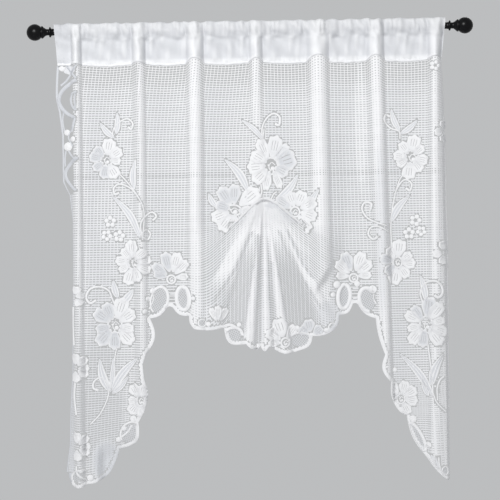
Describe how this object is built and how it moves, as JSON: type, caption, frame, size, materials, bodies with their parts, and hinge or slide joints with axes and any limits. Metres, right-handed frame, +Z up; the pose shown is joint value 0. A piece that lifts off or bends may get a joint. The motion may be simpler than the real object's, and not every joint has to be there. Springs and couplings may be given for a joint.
{
  "type": "lace kitchen curtain with rod",
  "caption": "Tiered white lace kitchen curtain with a plain rod-pocket heading, a drawn-up centre with a fan of folds, and two long side tails, hung on a black rod with ball finials.",
  "frame": {"origin": "on the rod's axis, halfway between the two ball finials", "axes": "+Z up, +X along the rod to the right of someone facing the curtain's front, +Y away from them, towards the window"},
  "size_m": [1.072, 0.0934, 1.1158],
  "materials": {
    "rod": "black, semi-gloss",
    "heading": "white, closely woven, matt",
    "lace": "white net lace with flower motifs, matt"
  },
  "bodies": {
    "root": {"curtain_rod": "rod", "finial_left": "rod", "finial_right": "rod", "heading": "heading", "lace_panel": "lace"}
  },
  "joints": []
}
